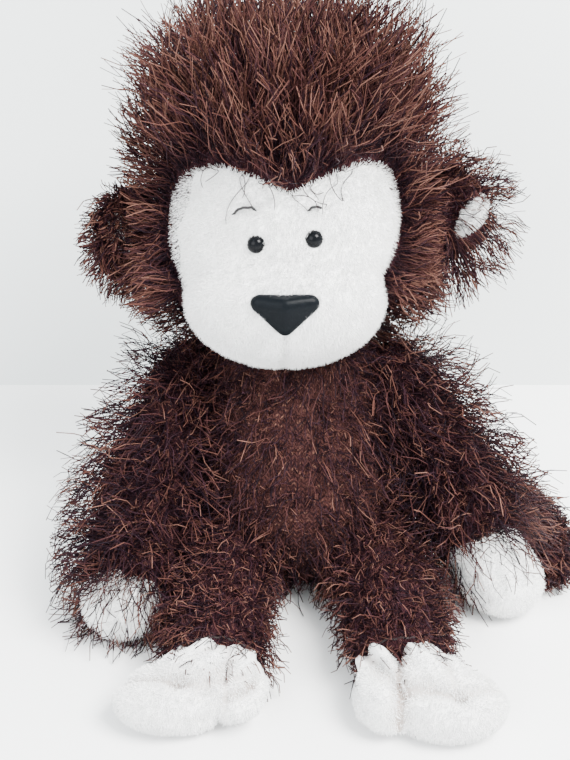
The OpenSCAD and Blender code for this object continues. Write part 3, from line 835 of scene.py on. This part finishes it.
def leg(side, body, sign, ankle_x, foot_x, foot_y, folds, seed):
    """One leg with its eyelash ends, foot, ankle seam and pile."""
    hip = mm(24.5 * sign, -20, 17)
    ankle = mm(ankle_x, -86, 10.6)
    foot = mm(foot_x, foot_y, 10.6)
    forward = unit(ankle - hip)
    knee = limb_blend(hip, ankle, 0.5) + np.array((1.5 * sign, 0, 0.6))
    trouser = closed_skin(f"leg_{side}_fabric", [
        [(hip / MM, (16.4, 15, 15)), (knee, (15.2, 14, 14))],
        [(knee, (15.2, 14, 14)), (ankle / MM + (0, 5, 1.4), (14.2, 7.4, 10.2))]], 0.0034, 3)
    ends = coordinates(trouser.data)
    near_root = np.linalg.norm(ends - hip, axis=1) < 0.014
    near_ankle = (ends - ankle) @ forward > -0.002
    blow_up(trouser, near_root | near_ankle, pressure=3, slack=0.05, travel=0.002)
    keep_above(trouser, 0.0006)
    lay_weave(trouser.data, hip, forward, 0.0145)
    fit(trouser, body, knit, [f"leg_{side}", f"leg_stuffing_{side}"])

    centre = foot / MM
    lobes = [[(ankle / MM + (0, 0.5, 0.6), (15.4, 8.6, 11.0)),
              (centre + (-sign * 3, 2.5, 0), (15.6, 10, 10.8))],
             [(centre + (sign * 5, -3.8, -2.0), (17.6, 11.6, 8.6))],
             [(centre + (-sign * 13.6, 0.4, -1.2), (8.8, 12.4, 9.2))]]
    boot = closed_skin(f"foot_{side}_plush", lobes, 0.0022, 2)
    held = (coordinates(boot.data) - ankle) @ forward < 0.002
    blow_up(boot, held, pressure=4, slack=0.06, travel=0.0015)
    pleats = gather(boot, ankle, (foot - ankle) * (1, 1, 0), 0.0016, 0.02, 13, seed)
    for a, b, depth, width in folds:
        pleats = pleats + 0.22 * depth * crease(boot, a, b, depth, width)
    # Painted shade greys the foot's pleats and creases.
    paint_fold_shade(boot.data, pleats)
    keep_above(boot, 0.0006)
    fit(boot, body, plush, [f"foot_{side}", f"foot_pellets_{side}"])

    def bare_foot(points, facing, rng):
        shown = ((points - ankle) @ forward > 0.0015) & (points[:, 2] > 0.0012)
        for a, b, depth, width in folds:
            start, end = (mm(*xy, 0) for xy in (a, b))
            shown &= away(points * (1, 1, 0), start, end, 0.4 * width * MM) | (rng.random(len(points)) < 0.3)
        return shown

    nap(f"foot_{side}_nap", body, boot.data, seed + 1, 21000, 0.0018, (0, -1, -0.4), bare_foot)

    aside, along, up = np.eye(3)
    ring = sewn_ring(ball_tree(trouser.data), ankle + (0, 0.0035, 0.001), aside, up, along, 16)
    ring[:, 2] = np.maximum(ring[:, 2], 0.0009)
    stitched(f"ankle_{side}_stitches", body, ring, 0.0007, brown_thread, [f"ankle_seam_{side}"])

    def on_leg(points, facing, rng):
        return (points[:, 1] < -0.030) & (points[:, 2] > 0.003)

    def hang(points, facing):
        return sideways(points) + (0, -0.6, -0.1)

    grow(f"leg_{side}_yarn", body, trouser.data, seed + 2, 2200, 0.0135, 0.45, hang, on_leg, curl=0.24,
         mix=(0.18, 0.32, 0.31, 0.13, 0.06))
    short_ends(f"leg_{side}_nap", body, trouser.data, seed + 3, 7000, hang, on_leg)


left_folds = [((29, -84), (27.5, -109), 4.2, 2.4), ((31, -98.5), (46, -101), 3.0, 2.4),
              ((46, -101), (58, -95), 2.4, 2.2), ((42, -88), (44, -97), 1.6, 1.8)]
right_folds = [((-55, -92), (-38, -96.5), 3.2, 2.6), ((-38, -96.5), (-17, -94), 2.4, 2.4),
               ((-23, -86), (-24, -105), 1.4, 2.0)]
leg("left", "leg_left", 1, 31, 38, -93.5, left_folds, 200)
leg("right", "leg_right", -1, -28, -35, -90.5, right_folds, 220)

# ---- tail ----
# A long knitted tube, sewn on low behind, that lies on the table and curls forward beside the toy.
# It is one filled sleeve along its curve, with a rounded end.
tail_thick, tail_wide, tail_deep = 7.1, 86, 62
tail_path = [np.array(p) for p in ((8, 30, 14.0), (14, 41, 10.5), (22, 49, 8.3))]
for turn in np.radians(np.linspace(74, -17, 22)):
    tail_path.append(np.array((8 + tail_wide * math.cos(turn), -6 + tail_deep * math.sin(turn), 7.9)))
girths = [tail_thick + 0.35 * math.sin(step * 1.7) for step in range(len(tail_path))]
tail_eggs = [(place, (girth, girth, tail_thick)) for place, girth in zip(tail_path, girths)]
tail_hulls = list(zip(tail_eggs, tail_eggs[1:]))
tail = closed_skin("tail_fabric", tail_hulls, 0.0026, 4)
tail_root = np.linalg.norm(coordinates(tail.data) - tail_path[0] * MM, axis=1) < 0.009
blow_up(tail, tail_root, pressure=2, slack=0.04, travel=0.0009)
lay_weave(tail.data, (0.008, -0.006, 0.0079), (0, 0, 1), 0.07)
fit(tail, "tail", knit, ["tail_skin", "tail_stuffing"])


def outer_tail(points, facing, rng):
    return (points[:, 2] > 0.0015) & (np.linalg.norm(points - mm(0, 4, 40), axis=1) > 0.045)


def along_tail(points, facing):
    outward = unit((points - mm(8, -6, 8)) * (1, 1, 0))
    return outward * 0.7 + np.cross(outward, (0, 0, 1)) * 0.5


grow("tail_yarn", "tail", tail.data, 31, 3000, 0.0095, 0.5, along_tail, outer_tail, curl=0.24)
short_ends("tail_nap", "tail", tail.data, 32, 8500, along_tail, outer_tail)

# ---- neck and head ----
# The head is one knitted bag, fuller at the cheeks, that sits low on the chest over a short wad of fibre.
# It leans a little back, so the face looks slightly upward.
head_place = Matrix.Translation(Vector(head_centre)) @ Matrix.Rotation(math.radians(-6), 4, "X")
head_turned = np.array(head_place.to_3x3())
cheeks, scalp = ((0, 0, -6), (44, 39, 38)), ((0, 2, 18), (38, 34, 38))
muzzle = ((0, -25, -20.5), (32.6, 18.8, 21.2))


def in_head(points):
    """Row-frame points in the head's own frame, in millimetres."""
    return (points - head_centre) @ head_turned / MM


def from_head(points):
    return np.array(points, float) * MM @ head_turned.T + head_centre


neck_wad = closed_skin("neck_fabric", [[((-6, 14, 84), (17, 16, 8)), ((-6, 14, 92), (15, 14, 8))]], 0.003, 2)
lay_weave(neck_wad.data, (-0.006, 0.014, 0.09), (0, 0, 1), 0.017)
fit(neck_wad, "neck", knit, ["neck_stuffing"])

head_skin = closed_skin("head_fabric", [[cheeks, scalp]], 0.0042, 3, head_place)
front_of_head = in_head(coordinates(head_skin.data))[:, 1] < -26
blow_up(head_skin, front_of_head, pressure=3, slack=0.04, travel=0.0018)
lay_weave(head_skin.data, head_centre, (0, 0, 1), 0.04)
fit(head_skin, "head", knit, ["head_skin", "head_stuffing"])

# ---- face ----
# One white plush panel with two rounded lobes over the eyes, a dip between them, and a full soft muzzle.
# It is padded, so its edge rolls into the brown knit, and it is drawn in round the eyes and down the chin.
face_outline = [(1, 16.8), (8.2, 19.8), (19.5, 24), (28.7, 25.4), (36, 19.5), (38.2, 6.5), (36.4, -4),
                (31.6, -12.5), (29, -24), (21, -33), (10, -37.5), (0, -38.5), (-10, -37.5), (-21, -33),
                (-29, -24), (-34, -14.5), (-38.2, -2), (-37.3, 11.8), (-33.6, 20.1), (-28.8, 23),
                (-20.5, 24.4), (-11, 22), (-6, 20)]
face_middle = np.array((0, -6.0))
plush_depth = 1.7


def closed_curve(corners, steps):
    """A smooth closed line through its corners."""
    corners = np.array(corners, float)
    line = []
    for k in range(len(corners)):
        a, b, c, d = (corners[(k + j - 1) % len(corners)] for j in range(4))
        for t in np.arange(steps) / steps:
            line.append(0.5 * (2 * b + (c - a) * t + (2 * a - 5 * b + 4 * c - d) * t ** 2
                               + (3 * b - a - 3 * c + d) * t ** 3))
    return np.array(line)


face_form = closed_skin("face_form", [[cheeks, scalp], [muzzle]], 0.0022, 5, lowest=-1)
form_surface = ball_tree(face_form.data)
bpy.data.objects.remove(face_form)


def on_face(x, z, out=0.0):
    """A point of the bare head in its own frame, out millimetres above the surface."""
    place, facing = form_surface.ray_cast(Vector((x * MM, -0.09, z * MM)), Vector((0, 1, 0)))[:2]
    return np.array(place + facing * out * MM) / MM


rim = closed_curve(face_outline, 5)
rings = 20
panel_bm = bmesh.new()
outer, inner = [], []
for ring in range(rings + 1):
    t = 1 - (1 - ring / rings) ** 1.4
    raised = plush_depth * max(0, 1 - t ** 9) ** 0.5
    spots = [face_middle + (p - face_middle) * t for p in rim]
    outer.append([panel_bm.verts.new(on_face(*p, raised) * MM) for p in spots])
    inner.append([panel_bm.verts.new(on_face(*p, -3.5) * MM) for p in spots])
join_rows(panel_bm, outer)
join_rows(panel_bm, inner, (3, 2, 1, 0))
join_rows(panel_bm, [outer[-1], inner[-1]])
bmesh.ops.remove_doubles(panel_bm, verts=panel_bm.verts, dist=1e-6)
bmesh.ops.recalc_face_normals(panel_bm, faces=panel_bm.faces)
muzzle_corners = [panel_bm.verts.new(p) for p in egg(muzzle[0], np.array(muzzle[1]) + 0.9, 17, 36)]
bmesh.ops.convex_hull(panel_bm, input=muzzle_corners)
face = from_bmesh("face_plush", panel_bm)
merge(face, 0.0014, 7)
eye_spots = [(9.2, 2.6), (-9.4, 1.0)]
points = coordinates(face.data) / MM
x, y, z = points.T
front = ramp(-y, 20, 30)
for eye_x, eye_z in eye_spots:
    y += 1.5 * np.exp(-(np.hypot(x - eye_x, z - eye_z) / 4.6) ** 2) * front
y += 1.3 * np.exp(-(x / 1.3) ** 2) * ramp(-z, 24, 29) * front
soft = np.sin(x * 0.31 + 1.3) * np.sin(z * 0.27 + 0.4) + 0.6 * np.sin(x * 0.55 - z * 0.4)
y += 0.28 * soft * front
set_coordinates(face.data, points * MM)
face.data.transform(head_place)
fit(face, "head", plush, ["face_panel"])
face_surface = ball_tree(face.data)


def face_at(x, z, out):
    """A row-frame point on the plush, in front of a place in the head's own frame."""
    start = from_head((x, -90, z))
    ahead = head_turned @ np.array((0, 1.0, 0))
    place, facing = face_surface.ray_cast(Vector(start), Vector(ahead))[:2]
    return None if place is None else np.array(place + facing * out * MM)


def plush_shows(points, facing, rng):
    x, y, z = in_head(points).T
    seen = (facing @ head_turned)[:, 1] < 0.25
    for eye_x, eye_z in eye_spots:
        seen &= np.hypot(x - eye_x, z - eye_z) > 2.8
    nose_reach = np.abs(x) < 10.4 - 0.86 * np.maximum(0, -15.5 - z)
    return seen & ~(nose_reach & (z < -14.2) & (z > -27) & (y < -30))


face_down = head_turned @ np.array((0, -0.2, -1.0))
nap("face_nap", "head", face.data, 41, 64000, 0.0023, face_down, plush_shows, lean=0.55)

chin_line = [face_at(0.25 * math.sin(z), z, 0.05) for z in np.linspace(-27.5, -41, 16)]
stitched("muzzle_stitches", "head", chin_line, 0.0005, white_thread, ["muzzle_seam"])

brow_thread = spun("brow_thread", (0.012, 0.011, 0.012), 1200)
brow_arcs = {
    "brow_left": [(6.6, 11.6), (8.4, 12.6), (10.2, 12.7), (12.2, 11.7)],
    "brow_right": [(-16.4, 10.2), (-14.4, 11.8), (-12.2, 12.5), (-10, 12.2), (-8, 11.0)],
}
for brow, arc in brow_arcs.items():
    knots = [face_at(x, z, 1.5) for x, z in arc]
    fine_arc = [a * (1 - t) + b * t for a, b in zip(knots, knots[1:]) for t in (0, 0.34, 0.67)]
    wobble = np.random.default_rng(51).normal(size=(len(fine_arc), 3)) * 0.00012
    stitched(f"{brow}_stitches", "head", np.array(fine_arc) + wobble, 0.0009, brow_thread, [brow])

# ---- eyes and nose ----
# The eyes are round black beads with a hard polish. The nose is a moulded soft triangle with a centre ridge
# and two slanting lower faces, in a satin black with a faint grain.
bead, bead_tree, bead_shader = new_finish("eye_bead", {
    "Roughness": 0.08, "Specular IOR Level": 0.06, "Coat Weight": 0.03, "Coat Roughness": 0.05})
bead_colour = blended(bead_tree, noise(bead_tree, 350), (0.0012, 0.0014, 0.002), (0.004, 0.0045, 0.0055))
bead_tree.links.new(bead_colour, bead_shader.inputs["Base Color"])
for eye in ("eye_left", "eye_right"):
    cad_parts[eye].material_slots[0].material = bead

satin, satin_tree, satin_shader = new_finish("nose_satin", {"Roughness": 0.34, "Specular IOR Level": 0.045})
grain = noise(satin_tree, 1800, 3)
satin_colour = blended(satin_tree, grain, (0.0016, 0.0022, 0.003), (0.004, 0.0052, 0.0066))
satin_tree.links.new(satin_colour, satin_shader.inputs["Base Color"])
relief(satin_tree, satin_shader, grain, 0.00008)

nose_front = on_face(0, -19)[1] - plush_depth
nose_forms = [[((8.1, nose_front + 0.9, -16.4), (3.1, 2.4, 3.0)),
               ((-8.1, nose_front + 0.9, -16.4), (3.1, 2.4, 3.0)),
               ((0, nose_front - 1.7, -17.2), (3.2, 2.0, 3.1)),
               ((0, nose_front + 0.4, -24.6), (2.7, 2.3, 2.4)),
               ((0, nose_front - 1.3, -20.6), (1.9, 1.9, 2.4))]]
nose = closed_skin("nose_moulded", nose_forms, 0.0006, 5, head_place, lowest=-1)
fit(nose, "head", satin, ["nose"])

washer_plastic = spun("washer_plastic", (0.75, 0.75, 0.72), 60, 0.45)
for washer in ("eye_washer_left", "eye_washer_right", "nose_washer"):
    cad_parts[washer].material_slots[0].material = washer_plastic

# ---- ears ----
# Each ear is a cupped brown pad with a white plush lining, sewn to the side of the head along one edge.
# The left one opens forward and shows its lining at the far edge; the right one lies folded back.


def ear(side, body, sign, fold, reach_out, fringe, half_width, slant, seed):
    """One ear with its lining and eyelash ends. The yarn also falls over the lining of the folded one."""
    hinge = Matrix.Translation(Vector((46.6 * sign * MM, 0.002, (1 + 3 * sign) * MM)))
    turned = head_place @ hinge @ Matrix.Rotation(math.radians(-fold * sign if sign > 0 else fold), 4, "Z")
    pad = [((9.5 * sign, 0.6, 0), (13.4, 3.2, 15.6)), ((reach_out * sign, 0.4, -0.5), (6, 2.8, 11)),
           ((-0.5 * sign, 0.4, -1), (4.2, 3.0, 10))]
    back = closed_skin(f"ear_{side}_fabric", [pad], 0.0018, 4, lowest=-1)
    points = coordinates(back.data) / MM
    x, y, z = points.T
    reach = np.hypot((x - 10.5 * sign) / 10.5, z / 13)
    y += np.clip(1 - reach ** 2, 0, 1) * np.where(y < 0.6, 3.0, 1.4)
    y -= 0.0072 * z ** 2 * (reach > 0.2)
    set_coordinates(back.data, points * MM)
    refine(back)
    cup_surface = ball_tree(back.data)
    back.data.transform(turned)
    lay_weave(back.data, turned.translation, (0, 0, 1), 0.012)
    fit(back, body, knit, [f"ear_back_{side}"])

    lining_x, half_height = reach_out + 0.6, 8.2
    lining_bm = bmesh.new()
    rows = []
    for t in np.linspace(0, 1, 9):
        row = []
        for turn in np.arange(40) * 2 * math.pi / 40:
            wide = half_width * (1 + 0.3 * math.sin(turn))
            x = (lining_x + (wide * math.cos(turn) + slant * math.sin(turn)) * t) * sign
            z = half_height * t * math.sin(turn)
            place = cup_surface.ray_cast(Vector((x * MM, -0.03, z * MM)), Vector((0, 1, 0)))[0]
            if place is None:
                place = cup_surface.find_nearest(Vector((x * MM, 0, z * MM)))[0]
            ridge = math.sin((math.cos(turn) * wide - slant * 0.4 * math.sin(turn)) * t * 1.5 + 0.6)
            raised = 1.7 * (1 - t ** 4) + 0.75 * ridge * (1 - t ** 6)
            row.append(lining_bm.verts.new(np.array(place) - (0, raised * MM, 0)))
        rows.append(row)
    join_rows(lining_bm, rows, (0, 3, 2, 1))
    bmesh.ops.remove_doubles(lining_bm, verts=lining_bm.verts, dist=1e-6)
    bmesh.ops.recalc_face_normals(lining_bm, faces=lining_bm.faces)
    lining = from_bmesh(f"ear_{side}_lining", lining_bm)
    lining.modifiers.new("thicken", "SOLIDIFY").thickness = 0.0008
    refine(lining)
    lining.data.transform(turned)
    fit(lining, body, plush, [f"ear_lining_{side}"])
    forward = np.array(turned.to_3x3()) @ np.array((0, -1.0, 0))

    def cup_face(points, facing, rng):
        return facing @ forward > 0

    nap(f"ear_{side}_nap", body, lining.data, seed, 7000, 0.0016, (0, 0, -1), cup_face)

    middle = np.array(turned @ Vector((8 * sign * MM, 0, 0)))
    inverse = np.array(turned.inverted())

    def rim_only(points, facing, rng):
        x, y, z = (points @ inverse[:3, :3].T + inverse[:3, 3]).T / MM
        middle_x = (lining_x + slant * z / half_height) * sign
        reach = np.hypot((x - middle_x) / (half_width + 0.2), z / (half_height + 0.3))
        return (reach > 1) | (y > 0.5) | (sign < 0)

    def from_middle(points, facing):
        return unit(points - middle) + np.array((0, 0, 0.1))

    grow(f"ear_{side}_yarn", body, back.data, seed + 1, 1500, fringe, 0.35, from_middle, rim_only, curl=0.22,
         group=11, hold=0.8, mix=(0.16, 0.3, 0.3, 0.16, 0.08))
    if sign < 0:
        grow(f"ear_{side}_veil", body, lining.data, seed + 3, 1500, 0.008, 0.3, from_middle, cup_face,
             curl=0.35, spread=0.7, mix=(0.25, 0.35, 0.25, 0.1, 0.05))
    grow(f"ear_{side}_nap_brown", body, back.data, seed + 2, 2400, 0.0055, 0.3, from_middle, rim_only,
         curl=0.3, droop=0.1, spread=0.5, thick=0.0003, mix=(0.2, 0.32, 0.28, 0.14, 0.06), steps=4)


ear("left", "ear_left", 1, -8, 20.5, 0.022, 5.2, 5.0, 300)
ear("right", "ear_right", -1, 34, 12, 0.0125, 5.0, 1.5, 320)

# ---- eyelash yarn on the head ----
# The longest ends stand up from the crown in pointed locks. They get shorter and lean outward at the sides,
# lie flatter behind, and a few fine ones curl down over the top of the face.


def knit_shows(points, facing, rng):
    """Where the head is brown: not under the face, and not where it rests on the chest."""
    x, y, z = in_head(points).T
    rim_x, rim_z = (rim - face_middle).T
    rim_turn = np.arctan2(rim_z, rim_x)
    order = np.argsort(rim_turn)
    up = z - face_middle[1]
    edge = np.interp(np.arctan2(up, x), rim_turn[order], np.hypot(rim_x, rim_z)[order], period=2 * math.pi)
    under_face = np.hypot(x, up) < edge + 0.4
    chin = (z < -18) & (np.abs(x) < 37)
    return ~((y < -4) & (under_face | chin)) & (z > -38)


def crown_flow(points, facing):
    local = in_head(points)
    up = ramp(local[:, 2:], -2, 24)
    side = unit(local * (1, 0.8, 0.0) + (0.001, 0, 0))
    fan = np.clip(local / (38, 34, 1e9), -1, 1) * (0.32, 0.28, 0)
    return (fan + (0, 0.02, 0.9)) * up + (side * 0.7 + (0, 0, -0.15)) * (1 - up)


def crown_length(points):
    x, y, z = in_head(points).T
    top = ramp(z, 2, 36)
    beside = ramp(np.abs(x), 26, 38) * (1 - top)
    corner = ramp(np.abs(x), 12, 28) * top
    jowl = ramp(-z, 4, 16) * ramp(np.abs(x), 24, 34)
    return 0.016 + 0.020 * top - 0.003 * ramp(y, 0, 30) + 0.001 * beside + 0.005 * corner + 0.006 * jowl


crown_pieces = grow("crown_yarn", "head", head_skin.data, 61, 18500, crown_length, 0.55, crown_flow,
                    knit_shows, curl=0.18, droop=0.02, group=11, hold=0.74, spread=0.26,
                    mix=(0.07, 0.22, 0.36, 0.22, 0.13))
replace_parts(crown_pieces[0], "crown_pile")
grow("crown_nap", "head", head_skin.data, 62, 14000, 0.0075, 0.3, crown_flow, knit_shows, curl=0.4,
     droop=0.05, spread=0.6, thick=0.0003, steps=4)

stray_rng = np.random.default_rng(71)
stray_count, stray_steps = 15, 12
stray_x = stray_rng.uniform(-24, 26, stray_count)
stray_roots = []
for x in stray_x:
    edge_z = np.interp(x, [-34, -20, -6, 1, 8, 20, 34], [20, 24.4, 20, 16.8, 19.8, 24, 21])
    stray_roots.append(face_at(x, edge_z - 0.6, 0.4))
stray_roots = np.array(stray_roots)
stray_heading = toss(np.tile(head_turned @ np.array((0, -1.0, -0.35)), (stray_count, 1)), 0.3, stray_rng)
stray_length = stray_rng.uniform(0.005, 0.0105, stray_count)
stray_lines = waver(stray_roots, stray_heading, stray_length, 0.4, 0.6, stray_steps, stray_rng)
for step in range(1, stray_steps):
    for line in stray_lines:
        local = in_head(line[step])
        on_plush = face_at(local[0], local[2], 1.0)
        front_y = -50 if on_plush is None else in_head(on_plush)[1]
        if on_plush is not None and local[1] > front_y:
            line[step] = from_head((local[0], front_y, local[2]))
stray_thickness = stray_rng.uniform(0.00026, 0.00038, stray_count)
stray_taper = [1.0] * (stray_steps - 1) + [0.4]
stray_tones = np.zeros((stray_count, stray_steps - 1), int)
stray = tubes("stray_ends", stray_lines, stray_thickness, stray_taper, stray_tones, strand_materials[1:2])
belongs(stray, "head")
